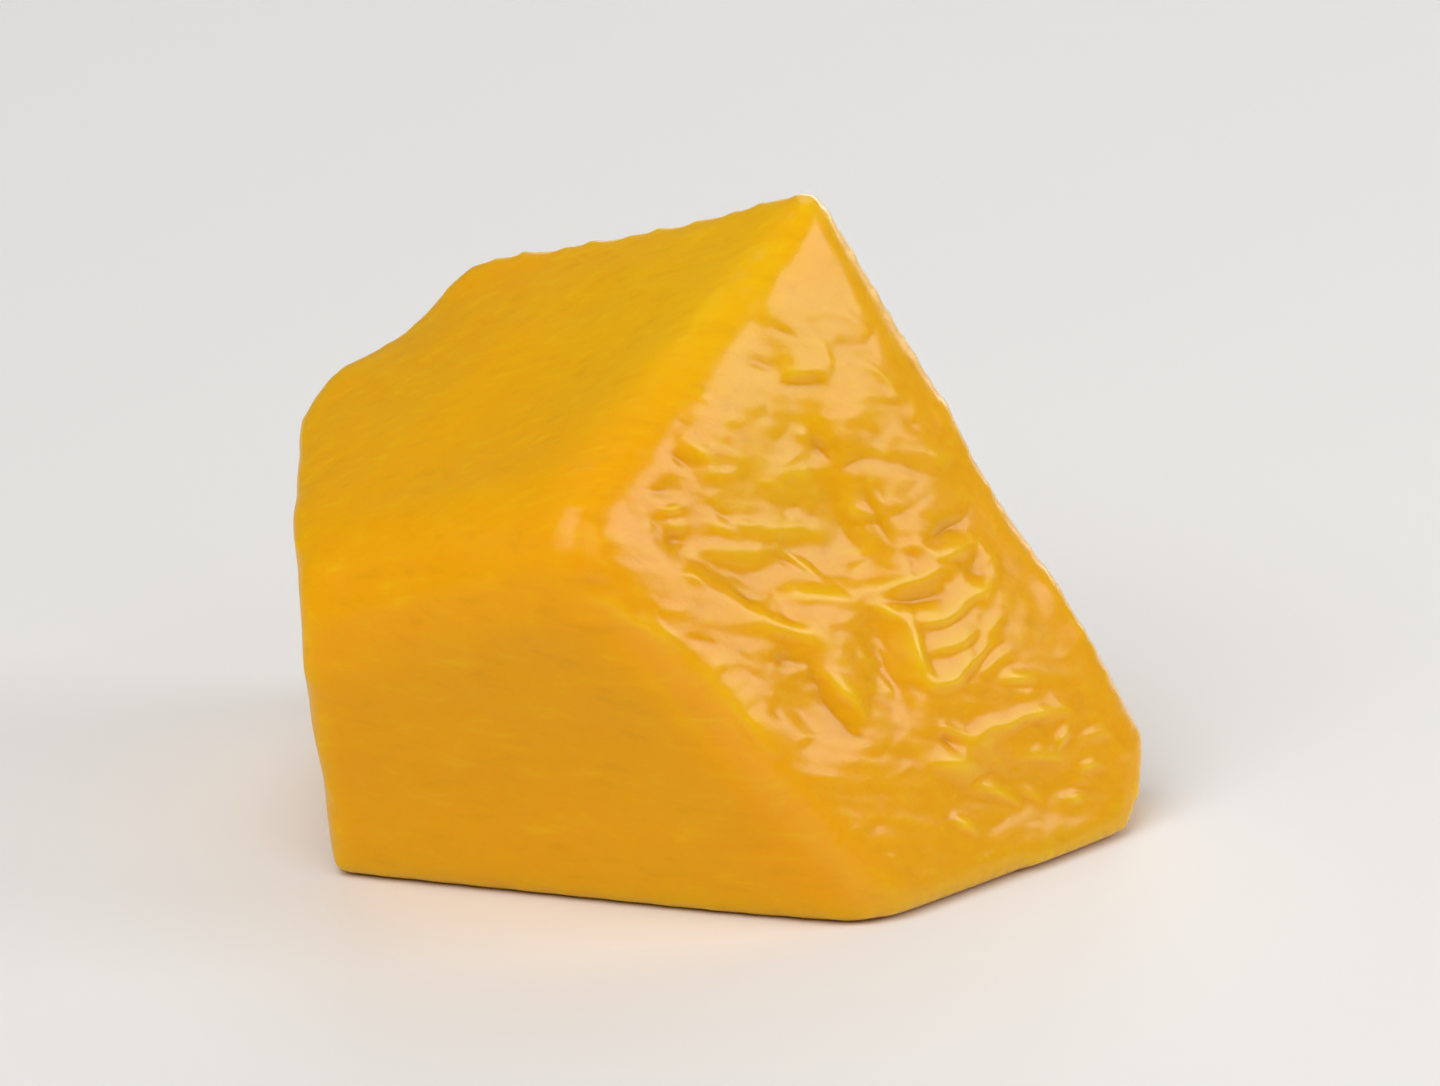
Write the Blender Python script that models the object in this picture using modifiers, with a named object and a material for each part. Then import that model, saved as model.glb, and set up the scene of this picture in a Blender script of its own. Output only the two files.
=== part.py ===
"""A chunk of ripe mango, diced by hand: one solid of soft, wet flesh.

Metres, +Z up. The chunk lies on its flat underside, and its front looks along -Y.
The origin is the middle of its footprint, on the underside.

It is made the way the real one is: a block of flesh takes one knife cut after another, the
edges wear soft, and the side that lay against the stone is torn along its fibres into folds.
"""

import math

import bmesh
import bpy
import numpy as np
from mathutils import Vector, noise

MM = 0.001

# ---- Driving dimensions, in millimetres ---------------------------------------------------
NAME = "mango_chunk"
HEIGHT = 22.9
BLOCK_SIZE = 60.0

# Each knife cut: the way its face looks (azimuth 0 is the front, 90 the right; tilt is above
# the horizon, in degrees) and how far it lies from the middle of the block.
CUTS = {
    "underside": (0.0, -90.0, HEIGHT / 2.0),
    "top_slice": (-69.0, 61.5, 8.37),
    "torn_side": (43.2, 24.8, 7.07),
    "front_slice": (-16.0, -17.0, 12.63),
    "back_slice": (155.8, 15.0, 4.74),
    "right_edge_slice": (112.0, 28.0, 8.62),
    "back_left_slice": (-128.0, 12.0, 13.54),
    "left_slice": (-90.0, -6.0, 14.1),
    "corner_nick": (-135.0, 34.0, 12.39),
    "tip_nick": (98.0, -14.0, 17.2),
}

# The corner where the top slice meets the torn side, measured from the middle of the block.
TOP_CORNER = np.array((3.75, 0.10, HEIGHT / 2.0))

# How wide the softest edges have worn. The others are only rubbed smooth.
SOFT_EDGES = {
    frozenset(("top_slice", "torn_side")): 1.8,
    frozenset(("torn_side", "front_slice")): 1.3,
    frozenset(("top_slice", "front_slice")): 3.6,
    frozenset(("back_slice", "back_left_slice")): 1.8,
    frozenset(("left_slice", "back_left_slice")): 1.8,
}
BEVEL_STEPS = 3

# The mesh: the voxel that the block is remeshed at, the strokes that smooth it, the triangles
# that are kept, and the narrowest fold (as a half width) that so few triangles can hold.
VOXEL = 0.28
SMOOTH_STROKES = 14
TRIANGLES = 9600
NARROWEST_FOLD = 0.36

# Soft lumps and dents of the whole chunk: (x, y, z, radius, height).
LUMPS = (
    (-11.4, 5.4, 4.8, 2.1, -0.42),
    (-8.4, 6.5, 6.6, 1.3, 0.15),
    # the crisp top corner, then notches and bumps of the edge at the torn side's right
    (3.6, 0.4, 11.0, 2.4, 0.25),
    (8.6, -0.3, 3.6, 0.9, 0.13),
    (10.5, -0.6, 0.4, 2.3, -0.16),
    (12.5, -0.7, -2.8, 0.8, 0.15),
    (13.3, -0.9, -4.3, 0.5, 0.10),
)

# The unevenness of every face, coarse and fine: height, length and the share of it that the
# torn side lacks.
SWELL = (0.30, 8.0, 0.6)
RIPPLE = (0.08, 2.6, 0.7)

# Shallow marks that a blade leaves as it drags through the flesh: height, length and stretch.
DRAG = (0.06, 2.2, 5.0)

# The torn side's plane has its own axes: u runs along it to the right, v up its slope, both
# from the top corner. Its whole face bulges: (middle u, v, half length u, v, height). It rolls
# off towards its right edge, from a narrow reach at the top to a wide one below, with one drop,
# and towards its foot: the reach and the drop.
CROWN = (-5.0, -11.0, 9.0, 13.0, 0.25)
RIGHT_ROLL = (1.3, 3.2, 0.26)
FOOT_ROLL = (7.5, 0.50)
ROLL_START = (-2.0, -15.0)
FORM_DEPTH = (0.3, 6.0)

# The basin of the torn side. Its floor starts level and falls evenly to the lower right: (start
# u, v, way it falls in degrees, slope). It ends at steps: (u, v of a point on the step, way
# that is out of the basin, width of the step).
BASIN_FLOOR = (-8.8, -7.2, -68.0, 0.080)
BASIN_SIDES = ((-3.1, -9.2, 26.0, 0.9), (-4.0, -13.0, -88.0, 1.7), (-8.6, -12.4, -130.0, 1.3))
BASIN_START = 0.8

# Round hollows of the torn side: (middle u, v, turn in degrees, reach to the left, right, down
# and up, depth).
HOLLOWS = (
    (-3.3, -15.5, 0.0, 1.0, 0.8, 1.8, 1.6, 0.30),
    (-7.4, -16.7, -60.0, 1.3, 1.5, 0.7, 0.9, 0.20),
    (2.4, -22.3, -14.0, 4.6, 3.0, 1.3, 1.7, 0.25),
    (-12.0, -15.6, -57.0, 2.6, 2.8, 1.4, 0.5, 0.28),
)

# The main folds of the torn side: (start u, v, end u, v, bow, half width on the left of the
# run, half width on its right, height). A crease has a negative height.
FOLDS = (
    # the left shoulder and the lower lip of the smooth dome under the top corner
    (-4.2, -5.0, -1.6, -0.6, -0.20, 0.55, 3.20, 0.16),
    (-5.5, -4.7, -4.2, -5.5, 0.00, 0.30, 0.20, -0.08),
    (-4.1, -6.0, -2.2, -6.4, 0.00, 0.25, 0.22, -0.15),
    # the notch at the foot of the step, and the creases under the plateau
    (-3.6, -7.9, -3.0, -8.8, 0.00, 0.20, 0.22, -0.13),
    (-3.0, -9.1, -1.3, -9.4, 0.05, 0.25, 0.20, -0.10),
    (-1.3, -9.4, 1.6, -11.6, 0.15, 0.25, 0.25, -0.08),
    # the narrow flap and the smooth wedge on its right
    (-2.0, -9.9, -1.3, -12.7, 0.05, 0.25, 0.28, -0.10),
    (-1.3, -9.7, -0.6, -12.7, 0.00, 0.90, 0.22, 0.10),
    # the notch, the lobe under it and the hook at their right
    (0.1, -12.6, 2.1, -12.3, 0.05, 0.22, 0.25, -0.15),
    (-0.2, -13.3, 2.4, -13.2, 0.05, 0.35, 0.35, 0.10),
    (2.6, -13.3, 2.0, -15.2, 0.75, 0.20, 0.22, 0.11),
    # the long band across the middle and the crease under it
    (-7.1, -12.8, -3.8, -13.6, 0.10, 0.45, 0.35, 0.10),
    (-3.9, -13.4, 1.0, -13.7, -0.10, 0.28, 0.30, 0.08),
    (-2.4, -14.1, 0.1, -14.5, -0.10, 0.25, 0.22, -0.15),
    # the lower folds and their left lip
    (-1.9, -14.8, -1.7, -17.5, -0.15, 0.22, 0.45, 0.14),
    (-1.6, -15.0, 0.7, -15.1, -0.25, 0.18, 0.22, 0.09),
    (-1.0, -15.8, 1.1, -15.7, -0.05, 0.18, 0.18, -0.11),
    (-1.2, -16.3, 2.2, -16.1, -0.05, 0.20, 0.22, 0.10),
    (-1.9, -17.2, 0.5, -16.8, -0.45, 0.22, 0.30, 0.11),
    # the long low folds to the lower right
    (-1.9, -18.7, -0.6, -19.5, 0.00, 0.25, 0.20, 0.08),
    (-0.6, -19.5, 4.3, -19.8, 0.10, 0.18, 0.28, 0.11),
    (-2.3, -20.0, -0.9, -20.6, 0.00, 0.35, 0.35, 0.10),
    (-0.6, -21.3, 1.2, -22.4, 0.00, 0.13, 0.18, 0.12),
    # the comb of short teeth at the left
    (-11.8, -8.1, -10.2, -8.0, 0.00, 0.22, 0.20, -0.12),
    (-11.6, -9.8, -10.1, -10.1, 0.00, 0.22, 0.20, -0.13),
    (-9.7, -7.4, -8.4, -8.4, 0.00, 0.25, 0.20, -0.10),
    # soft streaks across the basin
    (-6.2, -8.8, -2.7, -9.2, 0.10, 0.45, 0.35, 0.06),
    (-8.7, -9.9, -3.8, -11.3, 0.10, 0.30, 0.40, 0.07),
    (-10.4, -10.3, -6.4, -11.4, 0.10, 0.25, 0.40, 0.07),
    # the long crease under the basin
    (-9.9, -11.0, -7.5, -13.3, 0.05, 0.30, 0.22, -0.16),
    (-7.5, -13.3, -6.2, -14.0, 0.00, 0.25, 0.22, -0.14),
    # two fingers at the lower left, and the creases beside them
    (-9.2, -12.9, -5.2, -15.2, 0.25, 0.60, 0.45, 0.14),
    (-8.2, -14.8, -6.7, -15.2, 0.05, 0.25, 0.25, -0.14),
    (-6.7, -15.2, -5.6, -18.1, -0.15, 0.22, 0.30, -0.14),
    (-6.2, -15.7, -5.0, -17.6, 0.10, 0.50, 0.22, 0.14),
    # the lower left plateau
    (-11.2, -14.4, -9.1, -17.9, 0.00, 0.90, 0.22, 0.10),
)

# How near a vertex lies to a cut's plane to count as part of that face.
ON_FACE = (0.25, 1.0)
FLAT_ZONE = (0.1, 1.6)

# The last cut takes a thin shaving off the underside. Vertices this near to it lie on it.
FLOOR = 0.08 - HEIGHT / 2.0
SNAP = 0.01

FLESH_COLOUR = (0.80, 0.40, 0.015, 1.0)
FLESH_ROUGHNESS = 0.28
FLESH_SCATTER = (0.0030, 0.0014, 0.0004)


# ---- Small helpers --------------------------------------------------------------------------
def facing(azimuth, tilt):
    """The unit vector of a face that looks along this azimuth and tilt."""
    turn = math.radians(azimuth)
    rise = math.radians(tilt)
    flat = math.cos(rise)
    return Vector((flat * math.sin(turn), -flat * math.cos(turn), math.sin(rise)))


def smoothstep(low, high, value):
    t = np.clip((value - low) / (high - low), 0.0, 1.0)
    return t * t * (3.0 - 2.0 * t)


def noise_at(points, length, seed):
    """Smooth noise at each point, with features of this length."""
    spots = points / length + np.array(seed)
    return np.array([noise.noise(spot) for spot in spots.tolist()])


def ahead(u, v, start_u, start_v, turn):
    """How far (u, v) lies ahead of a start, along the way that the turn gives."""
    angle = math.radians(turn)
    return (u - start_u) * math.cos(angle) + (v - start_v) * math.sin(angle)


PLANES = {name: (facing(az, tilt), dist) for name, (az, tilt, dist) in CUTS.items()}
TORN_NORMAL = PLANES["torn_side"][0]
TORN_UP = (Vector((0.0, 0.0, 1.0)) - TORN_NORMAL * TORN_NORMAL.z).normalized()
TORN_RIGHT = TORN_UP.cross(TORN_NORMAL).normalized()


def inside(name, points):
    """How far each point lies behind the plane of a cut."""
    normal, distance = PLANES[name]
    return distance - points @ np.array(normal)


# ---- The block and its knife cuts -----------------------------------------------------------
def cut_block():
    """A block of flesh with every knife cut taken."""
    bm = bmesh.new()
    bmesh.ops.create_cube(bm, size=BLOCK_SIZE * MM)
    for normal, distance in PLANES.values():
        cut = bmesh.ops.bisect_plane(
            bm,
            geom=bm.verts[:] + bm.edges[:] + bm.faces[:],
            plane_co=normal * distance * MM,
            plane_no=normal,
            clear_outer=True,
        )
        rim = [item for item in cut["geom_cut"] if isinstance(item, bmesh.types.BMEdge)]
        bmesh.ops.edgeloop_fill(bm, edges=rim)
    bmesh.ops.recalc_face_normals(bm, faces=bm.faces[:])
    return bm


def cut_of(face):
    """The name of the cut that made a face."""
    return max(PLANES, key=lambda name: PLANES[name][0].dot(face.normal))


def weigh_edges(bm):
    """Give each soft edge its share of the widest bevel."""
    widest = max(SOFT_EDGES.values())
    layer = bm.edges.layers.float.new("bevel_weight_edge")
    for edge in bm.edges:
        names = frozenset(cut_of(face) for face in edge.link_faces)
        edge[layer] = SOFT_EDGES.get(names, 0.0) / widest
    return widest


# ---- Relief ---------------------------------------------------------------------------------
def torn_axes(points):
    """The places of the points along the torn side: u to its right and v up its slope."""
    away = points - TOP_CORNER
    return away @ np.array(TORN_RIGHT), away @ np.array(TORN_UP)


def torn_form(points):
    """How far the whole torn side bulges, or rolls off towards its edges."""
    u, v = torn_axes(points)
    middle_u, middle_v, half_u, half_v, height = CROWN
    out = np.hypot((u - middle_u) / half_u, (v - middle_v) / half_v)
    form = height * (1.0 - np.minimum(out, 1.6) ** 2)
    narrow, wide, drop = RIGHT_ROLL
    reach = narrow + (wide - narrow) * smoothstep(*ROLL_START, v)
    near = np.clip(1.0 - inside("right_edge_slice", points) / reach, 0.0, 1.0)
    form -= drop * near * near
    reach, drop = FOOT_ROLL
    near = np.clip(1.0 - inside("underside", points) / reach, 0.0, 1.0)
    return form - drop * near * near


def basin_depth(u, v):
    """How far the basin sinks the torn side at (u, v)."""
    *start, slope = BASIN_FLOOR
    along = ahead(u, v, *start)
    depth = slope * (along + np.hypot(along, BASIN_START)) / 2.0
    for *side, width in BASIN_SIDES:
        depth *= 1.0 - smoothstep(-width / 2.0, width / 2.0, ahead(u, v, *side))
    return depth


def hollow_depth(u, v, hollow):
    """How far a round hollow sinks the torn side at (u, v)."""
    middle_u, middle_v, turn, left, right, down, up, depth = hollow
    along = ahead(u, v, middle_u, middle_v, turn)
    across = ahead(u, v, middle_u, middle_v, turn + 90.0)
    along = along / np.where(along < 0.0, left, right)
    across = across / np.where(across < 0.0, down, up)
    return depth * np.exp(-along * along - across * across)


def fold_height(u, v, fold):
    """How far one fold lifts the torn side at (u, v)."""
    start_u, start_v, end_u, end_v, bow, left, right, height = fold
    left = max(left, NARROWEST_FOLD)
    right = max(right, NARROWEST_FOLD)
    run_u = end_u - start_u
    run_v = end_v - start_v
    length = math.hypot(run_u, run_v)
    run_u /= length
    run_v /= length
    along = (u - start_u) * run_u + (v - start_v) * run_v
    share = np.clip(along / length, 0.0, 1.0)
    across = (v - start_v) * run_u - (u - start_u) * run_v - 4.0 * bow * share * (1.0 - share)
    past = (along - share * length) / min(left, right)
    across = across / np.where(across > 0.0, left, right)
    taper = 0.35 + 0.65 * np.sin(math.pi * share)
    return height * taper * np.exp(-across * across - past * past)


def torn_relief(points):
    """The height of the torn side's basin, hollows and folds."""
    u, v = torn_axes(points)
    height = sum(fold_height(u, v, fold) for fold in FOLDS)
    height -= basin_depth(u, v)
    return height - sum(hollow_depth(u, v, hollow) for hollow in HOLLOWS)


def worn_places(points, normals):
    """Where the points of the clean block end up once the flesh is uneven."""
    torn = 1.0 - smoothstep(*ON_FACE, inside("torn_side", points))
    lift = np.zeros(len(points))
    for (height, length, lacking), seed in ((SWELL, (5.2, 1.7, 8.3)), (RIPPLE, (0.4, 6.1, 2.9))):
        lift += height * noise_at(points, length, seed) * (1.0 - lacking * torn)
    height, length, stretch = DRAG
    squeezed = points / np.array((stretch, stretch, 1.0))
    lift += height * noise_at(squeezed, length, (3.0, 7.0, 1.0)) * (1.0 - torn)
    for x, y, z, radius, height in LUMPS:
        gap = np.linalg.norm(points - np.array((x, y, z)), axis=1) / radius
        lift += height * np.exp(-gap * gap)
    free = smoothstep(*FLAT_ZONE, inside("underside", points))
    relief = torn * torn_relief(points)
    move = normals * lift[:, None] + np.array(TORN_NORMAL) * relief[:, None]
    level = np.array((TORN_NORMAL.x, TORN_NORMAL.y, 0.0)) / TORN_NORMAL.xy.length_squared
    form = torn_form(points) * (1.0 - smoothstep(*FORM_DEPTH, inside("torn_side", points)))
    return points + move * free[:, None] + level * form[:, None]


# ---- The solid ------------------------------------------------------------------------------
def applied_mesh(thing):
    """The mesh of an object with its modifiers applied."""
    graph = bpy.context.evaluated_depsgraph_get()
    mesh = bpy.data.meshes.new_from_object(thing.evaluated_get(graph))
    thing.modifiers.clear()
    return mesh


def add_wear(thing, width):
    """Round the edges, then give the block an even skin of small faces."""
    bevel = thing.modifiers.new("worn edges", "BEVEL")
    bevel.limit_method = "WEIGHT"
    bevel.width = width * MM
    bevel.segments = BEVEL_STEPS
    bevel.use_clamp_overlap = False
    skin = thing.modifiers.new("skin", "REMESH")
    skin.mode = "VOXEL"
    skin.voxel_size = VOXEL * MM
    rub = thing.modifiers.new("rub", "SMOOTH")
    rub.iterations = SMOOTH_STROKES
    thing.data = applied_mesh(thing)


def add_relief(mesh):
    """Move the skin to its uneven place."""
    count = len(mesh.vertices)
    points = np.empty(count * 3)
    normals = np.empty(count * 3)
    mesh.vertices.foreach_get("co", points)
    mesh.vertices.foreach_get("normal", normals)
    places = worn_places(points.reshape(-1, 3) / MM, normals.reshape(-1, 3))
    mesh.vertices.foreach_set("co", (places * MM).ravel())
    mesh.update()


def thin_out(thing):
    """Keep the triangles where the relief needs them."""
    faces = sum(len(polygon.vertices) - 2 for polygon in thing.data.polygons)
    thin = thing.modifiers.new("fewer faces", "DECIMATE")
    thin.ratio = TRIANGLES / faces
    thing.data = applied_mesh(thing)


def slice_underside(mesh):
    """Take the last knife cut, which leaves the underside flat and its rim clean."""
    bm = bmesh.new()
    bm.from_mesh(mesh)
    cut = bmesh.ops.bisect_plane(
        bm,
        geom=bm.verts[:] + bm.edges[:] + bm.faces[:],
        plane_co=Vector((0.0, 0.0, FLOOR * MM)),
        plane_no=Vector((0.0, 0.0, -1.0)),
        clear_outer=True,
    )
    rim = [item for item in cut["geom_cut"] if isinstance(item, bmesh.types.BMEdge)]
    bmesh.ops.edgeloop_fill(bm, edges=rim)
    bmesh.ops.recalc_face_normals(bm, faces=bm.faces[:])
    bm.to_mesh(mesh)
    bm.free()


def settle(mesh):
    """Make the underside one face, and move the origin to the middle of the footprint."""
    bm = bmesh.new()
    bm.from_mesh(mesh)
    floor = FLOOR * MM
    low = floor + SNAP * MM
    for vertex in bm.verts:
        if vertex.co.z < low:
            vertex.co.z = floor
    bmesh.ops.dissolve_degenerate(bm, edges=bm.edges[:], dist=SNAP * MM)
    flat = [face for face in bm.faces if all(vertex.co.z <= low for vertex in face.verts)]
    bmesh.ops.dissolve_faces(bm, faces=flat)
    xs = [vertex.co.x for vertex in bm.verts]
    ys = [vertex.co.y for vertex in bm.verts]
    middle = Vector(((min(xs) + max(xs)) / 2.0, (min(ys) + max(ys)) / 2.0, floor))
    bmesh.ops.translate(bm, verts=bm.verts[:], vec=-middle)
    bm.to_mesh(mesh)
    bm.free()


def flesh_material():
    """Wet golden flesh."""
    material = bpy.data.materials.new("mango_flesh")
    material.use_nodes = True
    shader = material.node_tree.nodes["Principled BSDF"]
    shader.inputs["Base Color"].default_value = FLESH_COLOUR
    shader.inputs["Roughness"].default_value = FLESH_ROUGHNESS
    shader.inputs["Subsurface Weight"].default_value = 1.0
    shader.inputs["Subsurface Radius"].default_value = FLESH_SCATTER
    shader.inputs["Subsurface Scale"].default_value = 1.0
    return material


def build():
    for thing in list(bpy.data.objects):
        bpy.data.objects.remove(thing)
    parts = bpy.data.collections.new("mango chunk")
    bpy.context.scene.collection.children.link(parts)

    block = cut_block()
    widest = weigh_edges(block)
    mesh = bpy.data.meshes.new(NAME)
    block.to_mesh(mesh)
    block.free()

    chunk = bpy.data.objects.new(NAME, mesh)
    parts.objects.link(chunk)
    add_wear(chunk, widest)
    add_relief(chunk.data)
    slice_underside(chunk.data)
    thin_out(chunk)
    settle(chunk.data)
    chunk.data.materials.clear()
    chunk.data.materials.append(flesh_material())
    chunk.data.shade_smooth()


build()
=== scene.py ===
"""The looks of the mango chunk: its fine skin of wet flesh, a studio and a camera.

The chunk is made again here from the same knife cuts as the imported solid, with far finer faces,
so that the torn side's folds, its wrinkles and the blade's marks are real shapes.
"""
import math
import random

import bmesh
import bpy
import numpy as np
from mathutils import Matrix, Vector, noise


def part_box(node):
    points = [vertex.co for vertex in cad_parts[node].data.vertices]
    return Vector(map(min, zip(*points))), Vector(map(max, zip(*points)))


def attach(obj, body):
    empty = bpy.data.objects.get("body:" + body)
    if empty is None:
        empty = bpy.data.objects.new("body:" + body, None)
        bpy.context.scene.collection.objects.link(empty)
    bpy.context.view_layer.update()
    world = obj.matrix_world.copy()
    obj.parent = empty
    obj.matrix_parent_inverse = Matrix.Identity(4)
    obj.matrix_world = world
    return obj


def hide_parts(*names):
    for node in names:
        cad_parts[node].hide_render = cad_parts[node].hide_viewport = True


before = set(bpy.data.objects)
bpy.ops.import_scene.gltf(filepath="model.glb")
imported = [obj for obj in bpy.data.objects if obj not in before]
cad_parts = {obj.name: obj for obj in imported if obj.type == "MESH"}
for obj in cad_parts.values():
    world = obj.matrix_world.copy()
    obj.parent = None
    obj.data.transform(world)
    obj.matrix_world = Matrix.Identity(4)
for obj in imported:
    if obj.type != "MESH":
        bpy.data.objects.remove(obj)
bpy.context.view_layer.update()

MM = 0.001
NODE = "mango_chunk"

# ---- The chunk's form, in millimetres from the middle of its block ---------------------------
HEIGHT = 22.9
BLOCK_SIZE = 60.0

# Each knife cut: the way its face looks (azimuth 0 is the front, 90 the right; tilt is above
# the horizon, in degrees) and how far it lies from the middle of the block.
CUTS = {
    "underside": (0.0, -90.0, HEIGHT / 2.0),
    "top_slice": (-69.0, 61.5, 8.37),
    "torn_side": (43.2, 24.8, 7.07),
    "front_slice": (-16.0, -17.0, 12.63),
    "back_slice": (155.8, 15.0, 4.74),
    "right_edge_slice": (112.0, 28.0, 8.62),
    "back_left_slice": (-128.0, 12.0, 13.54),
    "left_slice": (-90.0, -6.0, 14.1),
    "corner_nick": (-135.0, 34.0, 12.39),
    "tip_nick": (98.0, -14.0, 17.2),
}

# The corner where the top slice meets the torn side, measured from the middle of the block.
TOP_CORNER = np.array((3.75, 0.10, HEIGHT / 2.0))

# How wide, in millimetres, the softest edges have worn. The others are only rubbed smooth.
SOFT_EDGES = {
    frozenset(("top_slice", "torn_side")): 1.8,
    frozenset(("torn_side", "front_slice")): 1.3,
    frozenset(("top_slice", "front_slice")): 3.6,
    frozenset(("back_slice", "back_left_slice")): 1.8,
    frozenset(("left_slice", "back_left_slice")): 1.8,
}
BEVEL_STEPS = 3

# The mesh: the voxel that the block is remeshed at, and the strokes that smooth it.
VOXEL = 0.46
SMOOTH_STROKES = 6

# Soft lumps and dents of the whole chunk: (x, y, z, radius, height).
LUMPS = (
    (-11.4, 5.4, 4.8, 2.1, -0.42),
    (-8.4, 6.5, 6.6, 1.3, 0.15),
    # the crisp top corner, then notches and bumps of the edge at the torn side's right
    (3.6, 0.4, 11.0, 2.4, 0.25),
    (8.6, -0.3, 3.6, 0.9, 0.13),
    (10.5, -0.6, 0.4, 2.3, -0.16),
    (12.5, -0.7, -2.8, 0.8, 0.15),
    (13.3, -0.9, -4.3, 0.5, 0.10),
)

# The unevenness of every face, coarse to fine: height, length, the share of it that the torn
# side lacks, and the spot in the noise that it is read from.
SWELL = (0.30, 8.0, 0.6, (5.2, 1.7, 8.3))
RIPPLE = (0.08, 2.6, 0.7, (0.4, 6.1, 2.9))
GRAIN = (0.012, 0.75, 0.0, (2.4, 3.1, 7.9))

# Shallow marks that a blade leaves as it drags through the flesh: height, length, stretch and
# the spot in the noise.
DRAG = (0.06, 2.2, 5.0, (3.0, 7.0, 1.0))

# The torn side's plane has its own axes: u runs along it to the right, v up its slope, both
# from the top corner. Its whole face bulges: (middle u, v, half length u, v, height), and stays
# level past so many half lengths.
CROWN = (-5.0, -11.0, 9.0, 13.0, 0.25)
CROWN_END = 1.6

# It rolls off towards its right edge, from a narrow reach at the top to a wide one below, with
# one drop, and towards its foot: the reach and the drop. The right reach widens between these
# heights v, and the whole form fades out between these depths behind the face.
RIGHT_ROLL = (1.3, 3.2, 0.26)
FOOT_ROLL = (7.5, 0.50)
ROLL_START = (-2.0, -15.0)
FORM_DEPTH = (0.3, 6.0)

# The basin of the torn side. Its floor starts level and falls evenly to the lower right: (start
# u, v, way it falls in degrees, slope). It ends at steps: (u, v of a point on the step, way
# that is out of the basin, width of the step). The fall starts softly, over this length.
BASIN_FLOOR = (-8.8, -7.1, -76.0, 0.074)
BASIN_SIDES = ((-3.0, -9.4, 17.0, 1.5), (-4.0, -12.7, -88.0, 3.2), (-8.6, -12.2, -130.0, 1.3))
BASIN_START = 0.8

# The long dome from the top corner down, and the round hollows of the torn side: (middle u, v,
# turn in degrees, reach to the left, right, down and up, height or depth). The dome has a
# flatter top and steeper flanks than a hollow.
DOME = (-2.3, -3.0, 15.0, 2.1, 2.9, 10.0, 3.2, 0.17)
DOME_FLATNESS = 3.0
HOLLOWS = (
    (-3.3, -15.6, 0.0, 1.0, 0.8, 2.5, 1.5, 0.30),
    (-7.4, -16.7, -60.0, 1.3, 1.5, 0.7, 0.9, 0.20),
    (2.4, -22.3, -14.0, 4.6, 3.0, 1.3, 1.7, 0.25),
    (-12.0, -15.6, -57.0, 2.6, 2.8, 1.4, 0.5, 0.28),
)
HOLLOW_FLATNESS = 1.0

# How high a fold's ends are, as a share of its middle.
FOLD_ENDS = 0.35

# How round a crease's bottom is: 0 is a sharp V.
CREASE_BOTTOM = 0.35

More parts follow.
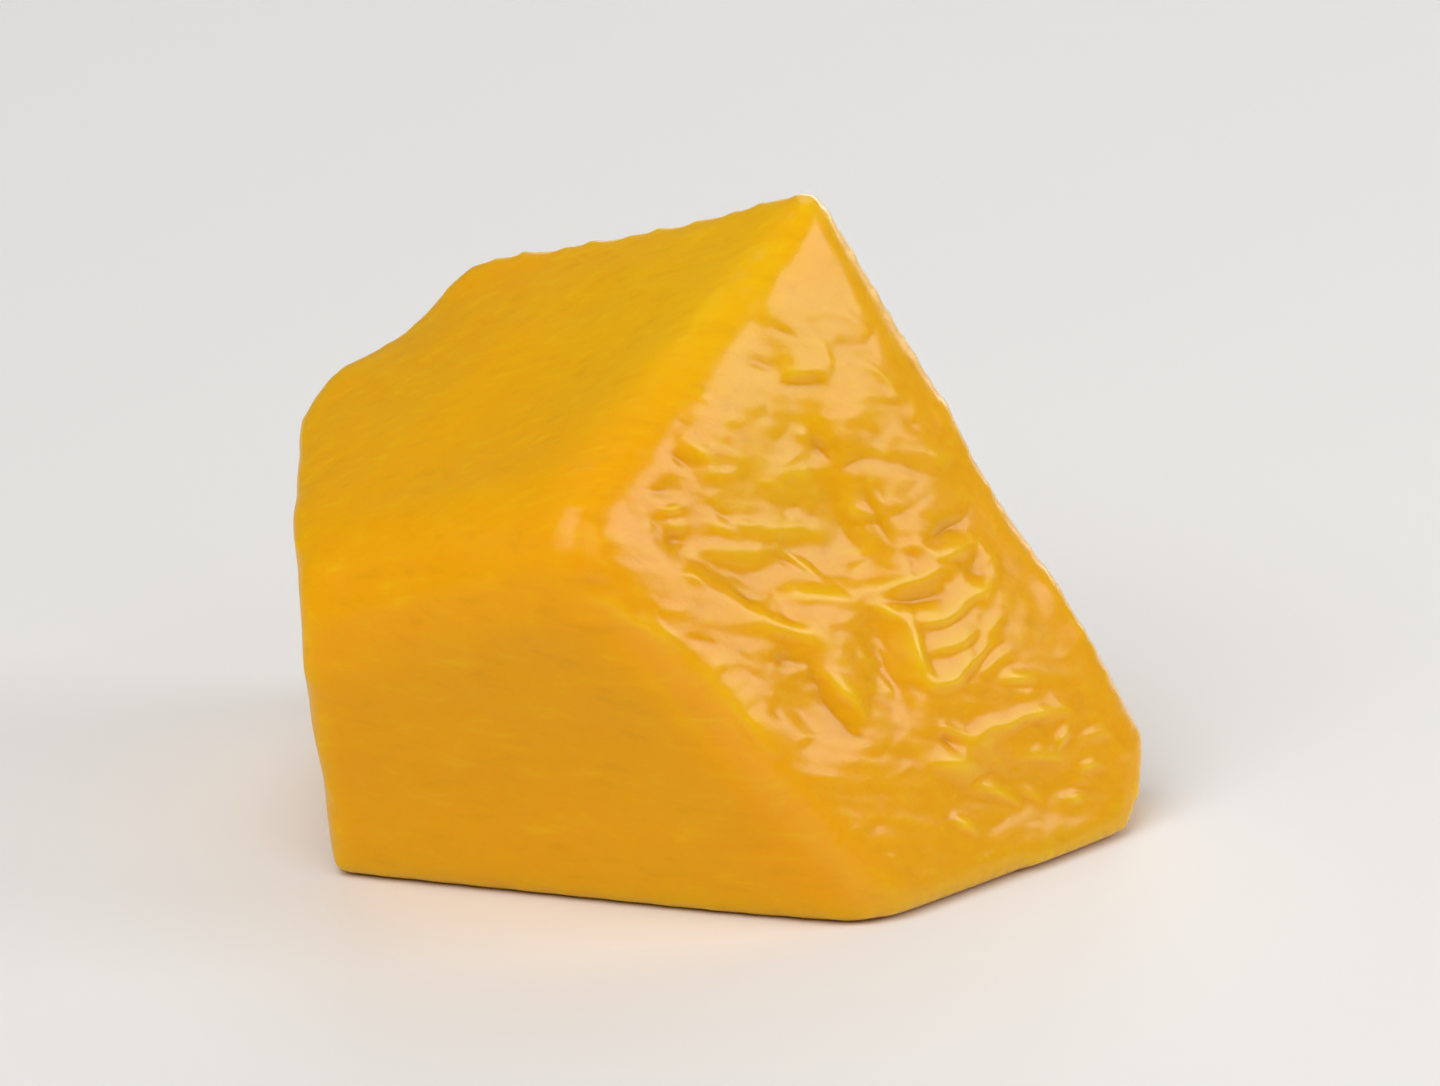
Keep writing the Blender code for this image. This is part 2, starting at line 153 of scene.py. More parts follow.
# Folds of the torn side: (start u, v, end u, v, bow, half width on the left of the run, half
# width on its right, height). A crease has a negative height.
FOLDS = (
    # short marks on the dome
    (-4.2, -3.9, -3.0, -4.6, 0.05, 0.28, 0.22, -0.08),
    (-2.0, -4.9, 0.1, -5.8, -0.05, 0.35, 0.22, -0.06),
    (-5.5, -4.7, -4.2, -5.5, 0.00, 0.30, 0.20, -0.08),
    (-4.3, -5.6, -2.2, -5.9, 0.05, 0.30, 0.20, 0.05),
    (-4.0, -6.0, -2.3, -6.4, 0.05, 0.25, 0.28, -0.11),
    # the notch at the foot of the step between the basin and the plateau on its right, and
    # fine marks on the plateau
    (-3.6, -7.9, -3.0, -8.8, 0.00, 0.20, 0.22, -0.13),
    (-1.3, -7.0, 0.0, -7.5, 0.05, 0.25, 0.25, 0.03),
    (-1.7, -8.0, -0.6, -8.6, 0.00, 0.25, 0.25, -0.03),
    (-0.4, -7.5, 1.1, -8.9, 0.20, 0.20, 0.30, -0.04),
    # the crease under the plateau
    (-2.8, -9.2, -1.2, -9.4, 0.05, 0.25, 0.20, -0.09),
    (-1.2, -9.4, 1.4, -10.8, 0.12, 0.35, 0.30, -0.06),
    (1.2, -9.7, 2.4, -10.2, 0.00, 0.30, 0.40, 0.06),
    # the narrow flap below that crease, and the crease between the flap and the smooth wedge on
    # its right
    (-2.8, -9.9, -2.2, -12.4, 0.05, 0.22, 0.40, 0.06),
    (-2.1, -9.9, -1.4, -12.4, -0.05, 0.25, 0.22, -0.10),
    # the dark notch, the pale lobe under it and the hook at their right
    (0.1, -12.6, 2.1, -12.3, 0.05, 0.22, 0.25, -0.15),
    (-0.2, -13.3, 2.4, -13.2, 0.05, 0.35, 0.35, 0.10),
    (1.3, -14.0, 2.3, -14.4, 0.10, 0.45, 0.30, -0.10),
    (2.9, -13.5, 1.7, -15.0, 0.40, 0.30, 0.60, 0.07),
    # the long band across the middle and the crease under it
    (-7.1, -12.8, -3.8, -13.6, 0.10, 0.45, 0.35, 0.10),
    (-3.9, -13.4, 1.0, -13.7, -0.10, 0.28, 0.30, 0.08),
    (-2.4, -14.1, 0.1, -14.5, -0.10, 0.25, 0.22, -0.15),
    # the left lip of the lower folds
    (-2.9, -14.2, -1.9, -14.9, 0.00, 0.35, 0.20, 0.09),
    (-1.8, -14.8, -1.6, -17.3, -0.15, 0.35, 0.45, 0.15),
    # the lower folds, one below the other
    (-1.5, -14.9, 0.7, -15.1, -0.35, 0.50, 0.20, 0.12),
    (0.5, -15.2, 2.3, -14.8, 0.15, 0.45, 0.20, 0.09),
    (-1.2, -16.2, 1.3, -16.0, -0.15, 0.50, 0.22, 0.11),
    (1.4, -16.4, 2.4, -15.9, 0.00, 0.30, 0.20, 0.07),
    (-1.8, -17.3, 0.5, -16.9, -0.40, 0.60, 0.25, 0.14),
    (0.3, -17.3, 1.9, -16.6, 0.10, 0.40, 0.20, 0.08),
    (0.7, -17.6, 2.3, -17.1, 0.00, 0.20, 0.25, 0.06),
    (1.7, -18.0, 3.1, -18.3, 0.00, 0.30, 0.16, 0.10),
    (-3.5, -16.7, -3.3, -17.3, 0.00, 0.20, 0.20, 0.06),
    # the long low folds to the lower right
    (-1.9, -18.7, -0.6, -19.5, 0.00, 0.25, 0.20, 0.08),
    (-0.6, -19.5, 4.3, -19.8, 0.10, 0.34, 0.22, 0.12),
    (-1.8, -19.0, -1.2, -19.7, 0.00, 0.22, 0.20, -0.11),
    (-0.7, -19.9, 0.8, -19.8, 0.00, 0.30, 0.30, 0.09),
    (-2.4, -20.0, -0.4, -20.6, 0.00, 0.45, 0.35, 0.16),
    (1.6, -20.8, 3.6, -21.5, 0.05, 0.32, 0.14, 0.10),
    (3.3, -21.0, 4.2, -20.5, 0.00, 0.28, 0.15, 0.09),
    (4.3, -22.0, 5.2, -22.2, 0.00, 0.28, 0.15, 0.08),
    (-0.6, -21.3, 1.2, -22.4, 0.05, 0.34, 0.15, 0.12),
    (1.4, -21.9, 2.4, -22.6, 0.00, 0.26, 0.14, 0.07),
    (-2.0, -22.1, -1.1, -22.9, 0.00, 0.32, 0.16, 0.12),
    (3.4, -22.8, 4.2, -23.1, 0.00, 0.30, 0.18, 0.10),
    # the comb of short teeth at the left
    (-11.2, -8.0, -9.7, -8.3, 0.00, 0.28, 0.22, -0.09),
    (-10.9, -8.8, -10.0, -8.9, 0.00, 0.16, 0.18, 0.08),
    (-10.9, -9.4, -10.0, -9.6, 0.00, 0.15, 0.18, 0.08),
    (-11.2, -9.9, -10.2, -10.1, 0.00, 0.28, 0.22, -0.09),
    (-9.7, -7.2, -9.1, -7.7, 0.00, 0.22, 0.20, -0.08),
    (-9.0, -6.7, -8.0, -8.1, 0.00, 0.35, 0.30, 0.09),
    # soft streaks across the basin
    (-6.2, -8.8, -2.7, -9.2, 0.10, 0.45, 0.35, 0.06),
    (-8.7, -9.9, -3.8, -11.3, 0.10, 0.30, 0.40, 0.07),
    (-10.4, -10.3, -6.4, -11.4, 0.10, 0.25, 0.40, 0.07),
    (-6.3, -11.1, -4.6, -12.8, 0.00, 0.15, 0.16, 0.06),
    (-6.4, -11.4, -5.6, -11.9, 0.00, 0.20, 0.20, -0.07),
    # the long crease under the basin
    (-9.5, -11.5, -7.5, -13.3, 0.05, 0.35, 0.25, -0.12),
    (-7.5, -13.3, -6.2, -14.0, 0.00, 0.30, 0.25, -0.12),
    # two fingers at the lower left, and the crease between them
    (-9.2, -12.9, -5.2, -15.2, 0.25, 0.60, 0.45, 0.14),
    (-8.2, -14.8, -6.7, -15.2, 0.05, 0.25, 0.25, -0.14),
    (-6.7, -15.2, -5.6, -18.1, -0.15, 0.22, 0.30, -0.14),
    (-6.2, -15.7, -5.0, -17.6, 0.10, 0.50, 0.22, 0.14),
    # the lower left plateau and the rim beside it
    (-11.2, -14.4, -9.1, -17.9, 0.00, 0.90, 0.22, 0.10),
    (-8.9, -16.3, -8.4, -16.8, 0.00, 0.20, 0.20, -0.05),
    (-15.2, -10.2, -11.9, -13.4, 0.00, 0.25, 0.25, 0.08),
    (-12.8, -12.0, -11.8, -13.3, 0.00, 0.20, 0.25, 0.06),
    (-11.5, -13.2, -10.3, -13.7, 0.00, 0.20, 0.20, -0.06),
    (-14.6, -10.3, -13.4, -11.0, 0.00, 0.20, 0.25, -0.06),
)

# The folds' lines waver: by how much, over what length, and the spots in the noise for u and v.
WAVER = (0.11, 1.1, (1.3, 4.7, 2.0), (6.1, 0.4, 5.0))

# Short random wrinkles between the folds: how many, the area they fall in (lowest and highest
# u, lowest and highest v), the range of their length, half width and height, the most that one
# bows as a share of its length, and how far they spread from the way that the fibres run.
WRINKLES = 320
WRINKLE_SEED = 11
WRINKLE_AREA = (-14.0, 6.2, -23.6, -3.8)
WRINKLE_LENGTH = (0.4, 2.1)
WRINKLE_WIDTH = (0.11, 0.26)
WRINKLE_HEIGHT = (0.006, 0.034)
WRINKLE_BOW = 0.15
WRINKLE_SPREAD = math.radians(24.0)

# Fibres run down to the right across the torn side as fine ridges. The pulp between them is
# softly uneven. Both have a height, a length, a stretch along the fibres and a spot in the noise.
FIBRE_RUN = math.radians(-20.0)
FIBRES = (0.016, 0.45, 7.0, (7.7, 3.1, 9.0))
PULP = (0.025, 1.3, 1.8, (2.2, 8.4, 3.5))

# The fine relief fades out towards the rims, and up the slope on the smooth dome.
RIM_FADE = (0.2, 1.6)
DOME_FADE = (-3.2, -4.8)

# The torn side's relief fades out this deep behind its plane, and all relief fades in this high
# above the flat underside.
ON_FACE = (0.25, 1.0)
FLAT_ZONE = (0.1, 1.6)

# A thin shaving comes off the underside. Points this near to it lie on it.
SHAVING = 0.08
UNDERSIDE = SHAVING - HEIGHT / 2.0
SNAP = 0.02

# ---- The flesh's looks -----------------------------------------------------------------------
GOLD = (0.85, 0.475, 0.002, 1.0)
DEEP_GOLD = (0.86, 0.405, 0.001, 1.0)
# Pale yellow: pale mottle and fibres, and the painted highlight on the fold crests.
PALE_YELLOW = (0.90, 0.58, 0.006, 1.0)
# Darker gold: the dark fibre streaks, and the painted shade in the creases.
DARK_FIBRE_AND_CREASE_SHADE_GOLD = (0.70, 0.33, 0.001, 1.0)

# The flesh is yellowest at this place, and its gold deepens over these distances (in metres).
YELLOWEST = (0.002, -0.004, 0.022)
DEEPENING = (0.001, 0.012)

# The noises of the flesh: scale, detail, roughness and distortion. The strands are its fibres,
# which are stretched along their way and turned.
PATCHES = (130.0, 2.0)
MOTTLE = (900.0, 4.0, 0.6)
STRANDS = (1900.0, 3.0, 0.55, 0.4)
STRAND_STRETCH = (0.16, 1.0, 1.0)
STRAND_TURN = (0.0, math.radians(38.0), math.radians(40.0))
PORES = (3200.0, 3.0, 0.6)

# What a noise, or the torn side's or its folds' attribute, is turned into: its range, and the
# range that this becomes. Pale and deep ones are shares of a colour.
PATCH_SHADE = (0.3, 0.7, -0.25, 0.25)
MOTTLE_PALE = (0.55, 0.85, 0.0, 0.15)
STRAND_PALE = (0.56, 0.76, 0.0, 0.40)
STRAND_DEEP = (0.44, 0.28, 0.0, 0.30)
# The folds' heights become a painted highlight on their crests and painted shade in their creases.
FOLD_CREST_PAINTED_HIGHLIGHT = (0.0, 0.14, 0.0, 0.5)
CREASE_PAINTED_SHADE = (-0.01, -0.12, 0.0, 0.4)
MOTTLE_ROUGHNESS = (0.3, 0.7, -0.07, 0.07)
TORN_ROUGHNESS = (0.0, 1.0, 0.38, 0.25)
TORN_COAT = (0.0, 1.0, 0.15, 0.72)

# Bumps: strength, and depth in metres.
STRAND_BUMP = (0.22, 0.00010)
PORE_BUMP = (0.12, 0.00005)

# ---- The studio, in metres and degrees, with the camera's sensor in millimetres --------------
CAMERA_AZIMUTH = 0.0
CAMERA_ELEVATION = 20.0
CAMERA_DISTANCE = 0.60
CAMERA_CLIP = (0.01, 10.0)
FRAME_WIDTH = 0.0500
SENSOR_WIDTH = 36.0
AIM = Vector((0.0, 0.0, 0.0100))
FLOOR_SIZE = 1.6
FLOOR_CELLS = 8
FLOOR_GAP = 0.00005
FLOOR_CLOUD = (9.0, 4.0)
FLOOR_PALE = (0.84, 0.83, 0.81, 1.0)
FLOOR_PALER = (0.87, 0.86, 0.84, 1.0)
WORLD_COLOUR = (1.0, 0.99, 0.97, 1.0)
WORLD_STRENGTH = 0.12

# The soft lights: name, azimuth, tilt, distance, width, height and how bright each looks.
LIGHTS = (
    ("key", -32.0, 52.0, 0.60, 0.50, 0.50, 3.65),
    ("fill", 32.0, 35.0, 0.60, 0.40, 0.40, 0.85),
    ("back", 172.0, 45.0, 0.60, 0.45, 0.45, 0.85),
    ("sheen", 85.5, 26.0, 0.32, 0.150, 0.140, 4.4),
    ("rim", 160.0, 9.0, 0.50, 0.50, 0.10, 3.5),
)


# ---- Small helpers ----------------------------------------------------------------------------
def facing(azimuth, tilt):
    """The unit vector that looks along this azimuth and tilt."""
    turn = math.radians(azimuth)
    rise = math.radians(tilt)
    flat = math.cos(rise)
    return Vector((flat * math.sin(turn), -flat * math.cos(turn), math.sin(rise)))


def smoothstep(low, high, value):
    """A smooth rise from 0 at low to 1 at high."""
    t = np.clip((value - low) / (high - low), 0.0, 1.0)
    return t * t * (3.0 - 2.0 * t)


def noise_at(points, length, spot):
    """Smooth noise at each point, with features of this length, read from a spot in the noise."""
    spots = points / length + np.array(spot)
    return np.array([noise.noise(place) for place in spots.tolist()])


PLANES = {name: (facing(az, tilt), dist) for name, (az, tilt, dist) in CUTS.items()}
TORN_NORMAL = PLANES["torn_side"][0]
TORN_UP = (Vector((0.0, 0.0, 1.0)) - TORN_NORMAL * TORN_NORMAL.z).normalized()
TORN_RIGHT = TORN_UP.cross(TORN_NORMAL).normalized()


def inside(name, points):
    """How far each point lies behind the plane of a cut."""
    normal, distance = PLANES[name]
    return distance - points @ np.array(normal)


# ---- The block and its knife cuts --------------------------------------------------------------
def cut_block():
    """A block of flesh with every knife cut taken."""
    bm = bmesh.new()
    bmesh.ops.create_cube(bm, size=BLOCK_SIZE * MM)
    for normal, distance in PLANES.values():
        cut = bmesh.ops.bisect_plane(
            bm,
            geom=bm.verts[:] + bm.edges[:] + bm.faces[:],
            plane_co=normal * distance * MM,
            plane_no=normal,
            clear_outer=True,
        )
        rim = [item for item in cut["geom_cut"] if isinstance(item, bmesh.types.BMEdge)]
        bmesh.ops.edgeloop_fill(bm, edges=rim)
    bmesh.ops.recalc_face_normals(bm, faces=bm.faces[:])
    return bm


def cut_of(face):
    """The name of the cut that made a face."""
    return max(PLANES, key=lambda name: PLANES[name][0].dot(face.normal))


def weigh_edges(bm):
    """Give each soft edge its share of the widest bevel."""
    widest = max(SOFT_EDGES.values())
    layer = bm.edges.layers.float.new("bevel_weight_edge")
    for edge in bm.edges:
        names = frozenset(cut_of(face) for face in edge.link_faces)
        edge[layer] = SOFT_EDGES.get(names, 0.0) / widest
    return widest


def split_torn_faces(mesh):
    """Give the torn side faces half as wide as the rest."""
    bm = bmesh.new()
    bm.from_mesh(mesh)
    normal, distance = PLANES["torn_side"]
    depth = (distance - ON_FACE[1]) * MM
    edges = [edge for edge in bm.edges if all(v.co.dot(normal) > depth for v in edge.verts)]
    bmesh.ops.subdivide_edges(bm, edges=edges, cuts=1, use_grid_fill=True)
    bm.to_mesh(mesh)
    bm.free()


def skin_of_block():
    """The worn block as an even mesh of small faces."""
    block = cut_block()
    widest = weigh_edges(block)
    mesh = bpy.data.meshes.new("block")
    block.to_mesh(mesh)
    block.free()
    thing = bpy.data.objects.new("block", mesh)
    bpy.context.scene.collection.objects.link(thing)
    bevel = thing.modifiers.new("worn edges", "BEVEL")
    bevel.limit_method = "WEIGHT"
    bevel.width = widest * MM
    bevel.segments = BEVEL_STEPS
    bevel.use_clamp_overlap = False
    skin = thing.modifiers.new("skin", "REMESH")
    skin.mode = "VOXEL"
    skin.voxel_size = VOXEL * MM
    rub = thing.modifiers.new("rub", "SMOOTH")
    rub.iterations = SMOOTH_STROKES
    finer = thing.modifiers.new("finer", "SUBSURF")
    finer.levels = 1
    finer.render_levels = 1
    graph = bpy.context.evaluated_depsgraph_get()
    fine = bpy.data.meshes.new_from_object(thing.evaluated_get(graph))
    bpy.data.objects.remove(thing)
    split_torn_faces(fine)
    return fine


# ---- Relief --------------------------------------------------------------------------------------
def torn_axes(points):
    """The places of the points along the torn side: u to its right and v up its slope."""
    away = points - TOP_CORNER
    return away @ np.array(TORN_RIGHT), away @ np.array(TORN_UP)


def torn_form(points):
    """How far the whole torn side bulges, or rolls off towards its edges."""
    u, v = torn_axes(points)
    middle_u, middle_v, half_u, half_v, height = CROWN
    out = np.hypot((u - middle_u) / half_u, (v - middle_v) / half_v)
    form = height * (1.0 - np.minimum(out, CROWN_END) ** 2)
    narrow, wide, drop = RIGHT_ROLL
    reach = narrow + (wide - narrow) * smoothstep(*ROLL_START, v)
    near = np.clip(1.0 - inside("right_edge_slice", points) / reach, 0.0, 1.0)
    form -= drop * near * near
    reach, drop = FOOT_ROLL
    near = np.clip(1.0 - inside("underside", points) / reach, 0.0, 1.0)
    return form - drop * near * near


def ahead(u, v, start_u, start_v, turn):
    """How far (u, v) lies ahead of a start, along the way that the turn gives."""
    angle = math.radians(turn)
    return (u - start_u) * math.cos(angle) + (v - start_v) * math.sin(angle)


def round_form(u, v, form, flatness):
    """The height at (u, v) of a round dome or hollow, with a flatter top for a higher flatness."""
    middle_u, middle_v, turn, left, right, down, up, height = form
    along = ahead(u, v, middle_u, middle_v, turn)
    across = ahead(u, v, middle_u, middle_v, turn + 90.0)
    along = along / np.where(along < 0.0, left, right)
    across = across / np.where(across < 0.0, down, up)
    return height * np.exp(-(along * along + across * across) ** flatness)


def basin_depth(u, v):
    """How far the basin sinks the torn side at (u, v)."""
    *start, slope = BASIN_FLOOR
    along = ahead(u, v, *start)
    depth = slope * (along + np.hypot(along, BASIN_START)) / 2.0
    for *side, width in BASIN_SIDES:
        depth *= 1.0 - smoothstep(-width / 2.0, width / 2.0, ahead(u, v, *side))
    return depth


def fold_height(u, v, fold):
    """How far one fold lifts the torn side at (u, v)."""
    start_u, start_v, end_u, end_v, bow, left, right, height = fold
    run_u = end_u - start_u
    run_v = end_v - start_v
    length = math.hypot(run_u, run_v)
    run_u /= length
    run_v /= length
    along = (u - start_u) * run_u + (v - start_v) * run_v
    share = np.clip(along / length, 0.0, 1.0)
    across = (v - start_v) * run_u - (u - start_u) * run_v - 4.0 * bow * share * (1.0 - share)
    past = (along - share * length) / min(left, right)
    across = across / np.where(across > 0.0, left, right)
    taper = FOLD_ENDS + (1.0 - FOLD_ENDS) * np.sin(math.pi * share)
    square = across * across + past * past
    if height < 0.0:
        square = np.sqrt(square + CREASE_BOTTOM * CREASE_BOTTOM) - CREASE_BOTTOM
    return height * taper * np.exp(-square)


def random_wrinkles():
    """Short wrinkles that fall at random, most of them along the fibres."""
    draw = random.Random(WRINKLE_SEED)
    low_u, high_u, low_v, high_v = WRINKLE_AREA
    wrinkles = []
    for _ in range(WRINKLES):
        start_u = draw.uniform(low_u, high_u)
        start_v = draw.uniform(low_v, high_v)
        length = draw.uniform(*WRINKLE_LENGTH)
        angle = FIBRE_RUN + draw.gauss(0.0, WRINKLE_SPREAD)
        end_u = start_u + length * math.cos(angle)
        end_v = start_v + length * math.sin(angle)
        bow = length * draw.uniform(-WRINKLE_BOW, WRINKLE_BOW)
        left = draw.uniform(*WRINKLE_WIDTH)
        right = draw.uniform(*WRINKLE_WIDTH)
        height = draw.uniform(*WRINKLE_HEIGHT) * draw.choice((-1.0, 1.0))
        wrinkles.append((start_u, start_v, end_u, end_v, bow, left, right, height))
    return wrinkles


def waver(u, v):
    """The places, shifted a little so that straight lines waver."""
    swing, length, u_spot, v_spot = WAVER
    flat = np.column_stack((u, v, np.zeros(len(u))))
    return u + swing * noise_at(flat, length, u_spot), v + swing * noise_at(flat, length, v_spot)


def fine_relief(u, v):
    """The height at (u, v) of the wrinkles, the fibres and the pulp."""
    fine = sum(fold_height(u, v, wrinkle) for wrinkle in random_wrinkles())
    along = u * math.cos(FIBRE_RUN) + v * math.sin(FIBRE_RUN)
    across = v * math.cos(FIBRE_RUN) - u * math.sin(FIBRE_RUN)
    for height, length, stretch, spot in (FIBRES, PULP):
        strands = np.column_stack((along / stretch, across, np.zeros(len(u))))
        fine += height * noise_at(strands, length, spot)
    return fine


def torn_relief(points):
    """The height of the torn side's relief, and its folds' share of it."""
    u, v = torn_axes(points)
    wavy_u, wavy_v = waver(u, v)
    forms = round_form(u, v, DOME, DOME_FLATNESS) - basin_depth(wavy_u, wavy_v)
    forms -= sum(round_form(wavy_u, wavy_v, hollow, HOLLOW_FLATNESS) for hollow in HOLLOWS)
    folds = sum(fold_height(wavy_u, wavy_v, fold) for fold in FOLDS)
    rim = np.min([inside(name, points) for name in PLANES if name != "torn_side"], axis=0)
    folds += fine_relief(wavy_u, wavy_v) * smoothstep(*RIM_FADE, rim) * smoothstep(*DOME_FADE, v)
    return forms + folds, folds


def wear(points, torn):
    """How far the unevenness, the blade's marks and the lumps lift each point off its face."""
    lift = np.zeros(len(points))
    for height, length, lack, spot in (SWELL, RIPPLE, GRAIN):
        lift += height * noise_at(points, length, spot) * (1.0 - lack * torn)
    height, length, stretch, spot = DRAG
    squeezed = points / np.array((stretch, stretch, 1.0))
    lift += height * noise_at(squeezed, length, spot) * (1.0 - torn)
    for *place, radius, height in LUMPS:
        gap = np.linalg.norm(points - np.array(place), axis=1) / radius
        lift += height * np.exp(-gap * gap)
    return lift


def worn_places(points, normals):
    """Where the points of the clean block end up, and their torn share and folds."""
    torn = 1.0 - smoothstep(*ON_FACE, inside("torn_side", points))
    lift = wear(points, torn)
    relief = np.zeros(len(points))
    folds = np.zeros(len(points))
    near = torn > 0.0
    relief[near], folds[near] = torn_relief(points[near])
    free = smoothstep(*FLAT_ZONE, inside("underside", points))
    move = normals * lift[:, None] + np.array(TORN_NORMAL) * (torn * relief)[:, None]
    level = np.array((TORN_NORMAL.x, TORN_NORMAL.y, 0.0)) / TORN_NORMAL.xy.length_squared
    form = torn_form(points) * (1.0 - smoothstep(*FORM_DEPTH, inside("torn_side", points)))
    return points + move * free[:, None] + level * form[:, None], torn, folds


def make_chunk():
    """The chunk's fine mesh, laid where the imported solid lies."""
    mesh = skin_of_block()
    count = len(mesh.vertices)
    points = np.empty(count * 3)
    normals = np.empty(count * 3)
    mesh.vertices.foreach_get("co", points)
    mesh.vertices.foreach_get("normal", normals)
    points = points.reshape(-1, 3) / MM
    normals = normals.reshape(-1, 3)
    places, torn, folds = worn_places(points, normals)
    places[places[:, 2] < UNDERSIDE + SNAP, 2] = UNDERSIDE
    low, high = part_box(NODE)
    middle = (places.min(axis=0) + places.max(axis=0)) / 2.0
    middle[2] = UNDERSIDE
    target = np.array(((low.x + high.x) / 2.0, (low.y + high.y) / 2.0, low.z))
    places = (places - middle) * MM + target
    mesh.vertices.foreach_set("co", places.ravel())
    for name, values in (("torn", torn), ("folds", folds)):
        layer = mesh.attributes.new(name, "FLOAT", "POINT")
        layer.data.foreach_set("value", values)
    mesh.update()
    mesh.shade_smooth()
    chunk = bpy.data.objects.new("chunk_flesh", mesh)
    bpy.context.scene.collection.objects.link(chunk)
    return chunk


# ---- Materials -------------------------------------------------------------------------------------
class Graph:
    """Short names for the steps of building a material's nodes."""

    # The Mix node's sockets for colours.
    MIX_INPUTS = (6, 7)
    MIX_OUTPUT = 2

    def __init__(self, name):
        self.material = bpy.data.materials.new(name)
        self.material.use_nodes = True
        self.tree = self.material.node_tree
        self.shader = self.tree.nodes["Principled BSDF"]

    def add(self, kind, **settings):
        node = self.tree.nodes.new(kind)
        for key, value in settings.items():
            setattr(node, key, value)
        return node

    def link(self, source, target):
        self.tree.links.new(source, target)

    def coordinates(self, scale=(1.0, 1.0, 1.0), turn=(0.0, 0.0, 0.0)):
        """Object coordinates, turned and scaled."""
        spot = self.add("ShaderNodeTexCoord")
        mapping = self.add("ShaderNodeMapping")
        mapping.inputs["Rotation"].default_value = turn
        mapping.inputs["Scale"].default_value = scale
        self.link(spot.outputs["Object"], mapping.inputs["Vector"])
        return mapping.outputs["Vector"]

    def noise(self, vector, scale, detail=2.0, rough=0.5, distortion=0.0):
        node = self.add("ShaderNodeTexNoise")
        node.inputs["Scale"].default_value = scale
        node.inputs["Detail"].default_value = detail
        node.inputs["Roughness"].default_value = rough
        node.inputs["Distortion"].default_value = distortion
        self.link(vector, node.inputs["Vector"])
        return node.outputs["Fac"]

    def spread(self, value, low, high, to_low=0.0, to_high=1.0):
        """Map a value's range onto another one, and stop at its ends."""
        node = self.add("ShaderNodeMapRange")
        node.inputs["From Min"].default_value = low
        node.inputs["From Max"].default_value = high
        node.inputs["To Min"].default_value = to_low
        node.inputs["To Max"].default_value = to_high
        self.link(value, node.inputs["Value"])
        return node.outputs["Result"]

    def math(self, operation, first, second):
        node = self.add("ShaderNodeMath", operation=operation)
        self.link(first, node.inputs[0])
        self.link(second, node.inputs[1])
        return node.outputs["Value"]

    def mix(self, share, first, second):
        """Blend two colours, each a value or a socket, by a share."""
        node = self.add("ShaderNodeMix", data_type="RGBA")
        self.link(share, node.inputs["Factor"])
        for index, value in zip(self.MIX_INPUTS, (first, second)):
            if isinstance(value, tuple):
                node.inputs[index].default_value = value
            else:
                self.link(value, node.inputs[index])
        return node.outputs[self.MIX_OUTPUT]

    def distance(self, vector, place):
        """How far each point lies from a place."""
        node = self.add("ShaderNodeVectorMath", operation="DISTANCE")
        node.inputs[1].default_value = place
        self.link(vector, node.inputs[0])
        return node.outputs["Value"]

    def attribute(self, name):
        node = self.add("ShaderNodeAttribute", attribute_name=name)
        return node.outputs["Fac"]

    def bump(self, height, strength, distance, normal=None):
        node = self.add("ShaderNodeBump")
        node.inputs["Strength"].default_value = strength
        node.inputs["Distance"].default_value = distance
        self.link(height, node.inputs["Height"])
        if normal is not None:
            self.link(normal, node.inputs["Normal"])
        return node.outputs["Normal"]


def flesh_colour(g, plain, mottle, strands, torn):
    """Gold that deepens away from the top, with pale fibres, a painted highlight on the fold crests
    and painted shade in the creases.
    """
    patches = g.noise(plain, *PATCHES)
    folds = g.attribute("folds")
    far = g.distance(plain, YELLOWEST)
    shade = g.math("ADD", g.spread(far, *DEEPENING), g.spread(patches, *PATCH_SHADE))
    colour = g.mix(shade, GOLD, DEEP_GOLD)
    colour = g.mix(g.spread(mottle, *MOTTLE_PALE), colour, PALE_YELLOW)
    colour = g.mix(g.spread(strands, *STRAND_PALE), colour, PALE_YELLOW)
    colour = g.mix(g.spread(strands, *STRAND_DEEP), colour, DARK_FIBRE_AND_CREASE_SHADE_GOLD)
    # Painted highlight: pale yellow on the crests of the torn side's folds.
    crest = g.math("MULTIPLY", g.spread(folds, *FOLD_CREST_PAINTED_HIGHLIGHT), torn)
    colour = g.mix(crest, colour, PALE_YELLOW)
    # Painted shade: darker gold in the torn side's creases.
    crease = g.math("MULTIPLY", g.spread(folds, *CREASE_PAINTED_SHADE), torn)
    return g.mix(crease, colour, DARK_FIBRE_AND_CREASE_SHADE_GOLD)


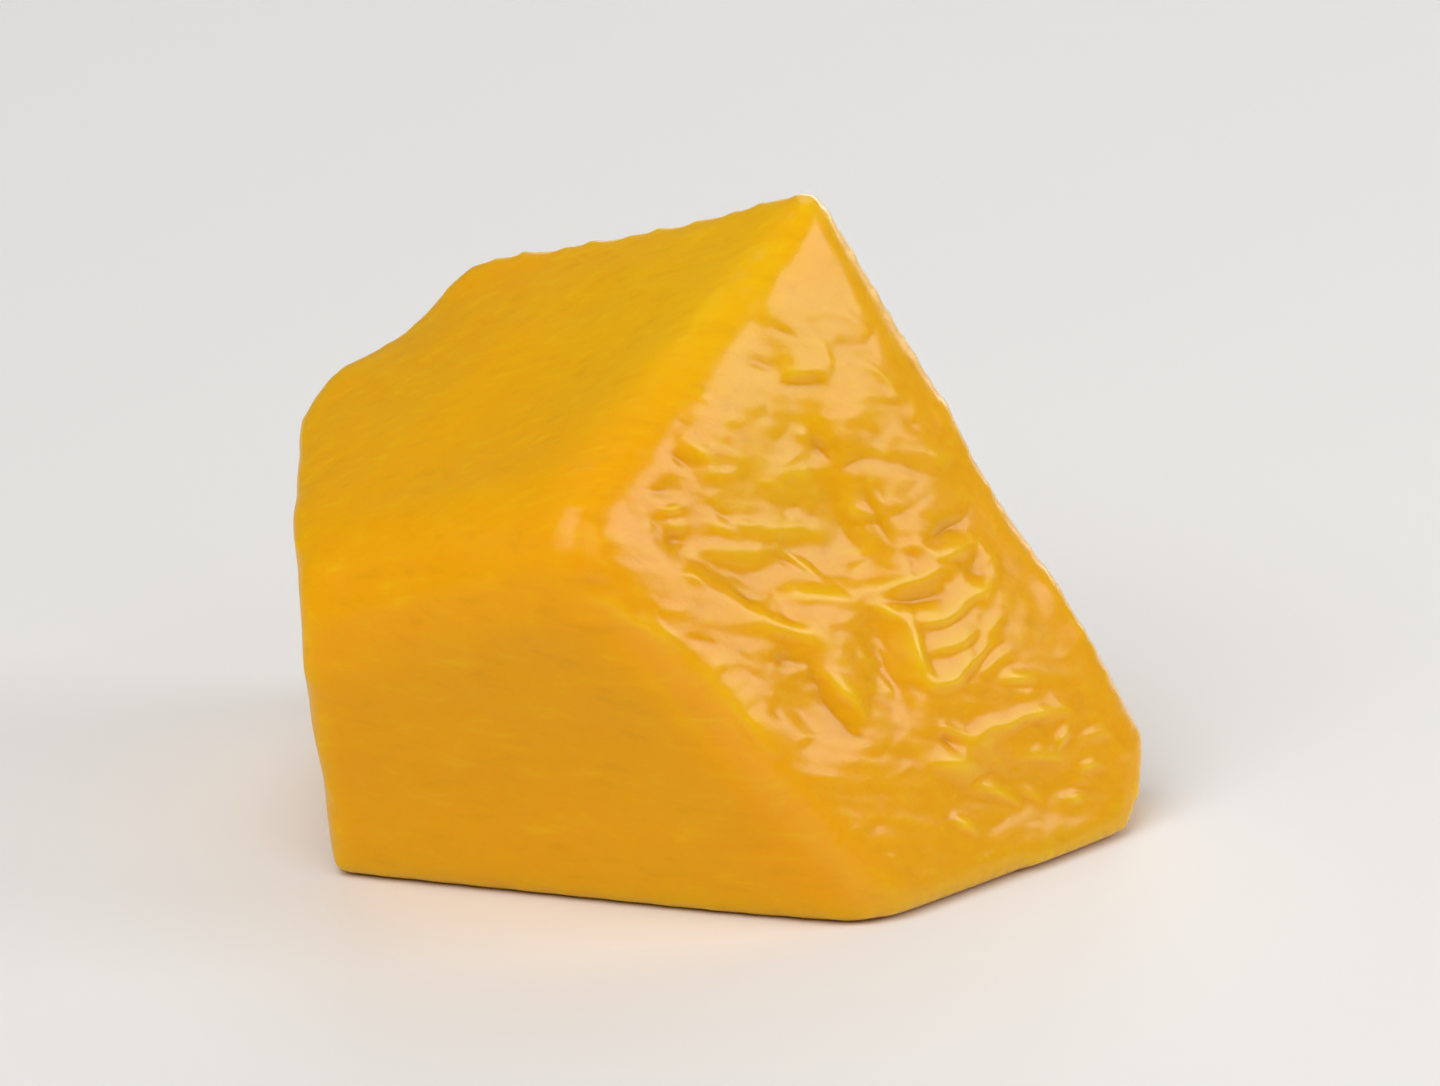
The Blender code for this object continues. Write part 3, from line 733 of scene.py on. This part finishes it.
def flesh_material():
    """Wet, translucent mango flesh with fibres."""
    g = Graph("mango_flesh")
    plain = g.coordinates()
    along = g.coordinates(STRAND_STRETCH, STRAND_TURN)
    mottle = g.noise(plain, *MOTTLE)
    strands = g.noise(along, *STRANDS)
    torn = g.attribute("torn")
    g.link(flesh_colour(g, plain, mottle, strands, torn), g.shader.inputs["Base Color"])

    rough = g.math("ADD", g.spread(mottle, *MOTTLE_ROUGHNESS), g.spread(torn, *TORN_ROUGHNESS))
    g.link(rough, g.shader.inputs["Roughness"])

    pores = g.noise(plain, *PORES)
    normal = g.bump(strands, *STRAND_BUMP)
    normal = g.bump(pores, *PORE_BUMP, normal=normal)
    g.link(normal, g.shader.inputs["Normal"])

    g.shader.inputs["IOR"].default_value = 1.22
    g.shader.inputs["Subsurface Weight"].default_value = 1.0
    g.shader.inputs["Subsurface Radius"].default_value = (1.0, 0.75, 0.12)
    g.shader.inputs["Subsurface Scale"].default_value = 0.0022
    g.link(g.spread(torn, *TORN_COAT), g.shader.inputs["Coat Weight"])
    g.shader.inputs["Coat Roughness"].default_value = 0.20
    g.shader.inputs["Coat IOR"].default_value = 1.33
    return g.material


def floor_material():
    """A pale matt table top with a barely visible unevenness."""
    g = Graph("pale_floor")
    cloud = g.noise(g.coordinates(), *FLOOR_CLOUD)
    g.link(g.mix(cloud, FLOOR_PALE, FLOOR_PALER), g.shader.inputs["Base Color"])
    g.shader.inputs["Roughness"].default_value = 0.65
    return g.material


# ---- Camera, lights and floor -------------------------------------------------------------------
def add_camera():
    """A long lens at the photograph's height above the chunk."""
    lens = bpy.data.cameras.new("camera")
    lens.sensor_width = SENSOR_WIDTH
    lens.lens = SENSOR_WIDTH * CAMERA_DISTANCE / FRAME_WIDTH
    lens.clip_start, lens.clip_end = CAMERA_CLIP
    camera = bpy.data.objects.new("camera", lens)
    back = facing(CAMERA_AZIMUTH, CAMERA_ELEVATION)
    camera.location = AIM + back * CAMERA_DISTANCE
    camera.rotation_mode = "QUATERNION"
    camera.rotation_quaternion = (-back).to_track_quat("-Z", "Y")
    bpy.context.scene.collection.objects.link(camera)
    bpy.context.scene.camera = camera


def add_softbox(name, azimuth, tilt, distance, width, height, radiance):
    """A rectangular light that faces the chunk and looks this bright from there."""
    light = bpy.data.lights.new(name, "AREA")
    light.shape = "RECTANGLE"
    light.size = width
    light.size_y = height
    light.energy = radiance * math.pi * width * height
    lamp = bpy.data.objects.new(name, light)
    way = facing(azimuth, tilt)
    lamp.location = AIM + way * distance
    lamp.rotation_mode = "QUATERNION"
    lamp.rotation_quaternion = way.to_track_quat("Z", "Y")
    bpy.context.scene.collection.objects.link(lamp)


def add_floor():
    bm = bmesh.new()
    bmesh.ops.create_grid(bm, x_segments=FLOOR_CELLS, y_segments=FLOOR_CELLS, size=FLOOR_SIZE)
    mesh = bpy.data.meshes.new("floor")
    bm.to_mesh(mesh)
    bm.free()
    floor = bpy.data.objects.new("floor", mesh)
    floor.location.z = -FLOOR_GAP
    mesh.materials.append(floor_material())
    bpy.context.scene.collection.objects.link(floor)


def add_world():
    world = bpy.data.worlds.new("studio")
    world.use_nodes = True
    sky = world.node_tree.nodes["Background"]
    sky.inputs["Color"].default_value = WORLD_COLOUR
    sky.inputs["Strength"].default_value = WORLD_STRENGTH
    bpy.context.scene.world = world
    bpy.context.scene.view_settings.view_transform = "Standard"


add_camera()
add_world()
add_floor()
for light in LIGHTS:
    add_softbox(*light)

chunk = make_chunk()
chunk.data.materials.append(flesh_material())
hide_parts(NODE)
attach(chunk, "root")
